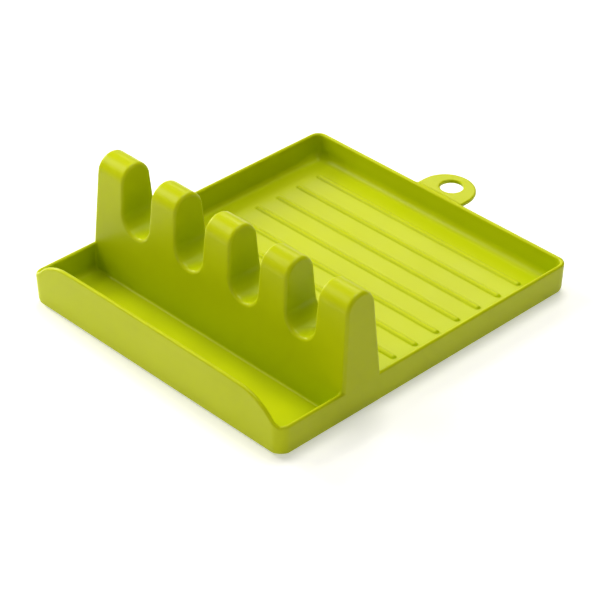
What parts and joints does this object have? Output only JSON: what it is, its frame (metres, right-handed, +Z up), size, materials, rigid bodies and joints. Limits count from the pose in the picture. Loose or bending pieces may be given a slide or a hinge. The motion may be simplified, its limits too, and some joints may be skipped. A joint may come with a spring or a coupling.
{
  "type": "utensil rest",
  "caption": "Moulded utensil rest: a shallow tray with a slotted rack across it, a tall front lip, a ribbed drip floor and a hanging tab, on soft foot pads.",
  "frame": {"origin": "centre of the bounding box in X and Y, on the surface the foot pads stand on", "axes": "+X along the rack to the right as seen from the front lip, +Y from the front lip to the hanging tab, +Z up"},
  "size_m": [0.1712, 0.212, 0.0637],
  "materials": {
    "body": "satin moulded polypropylene, yellow-green",
    "feet": "matt soft elastomer, pale grey"
  },
  "bodies": {
    "root": {"rest_body": "body", "foot_front_left": "feet", "foot_front_right": "feet", "foot_rear_left": "feet", "foot_rear_right": "feet"}
  },
  "joints": []
}
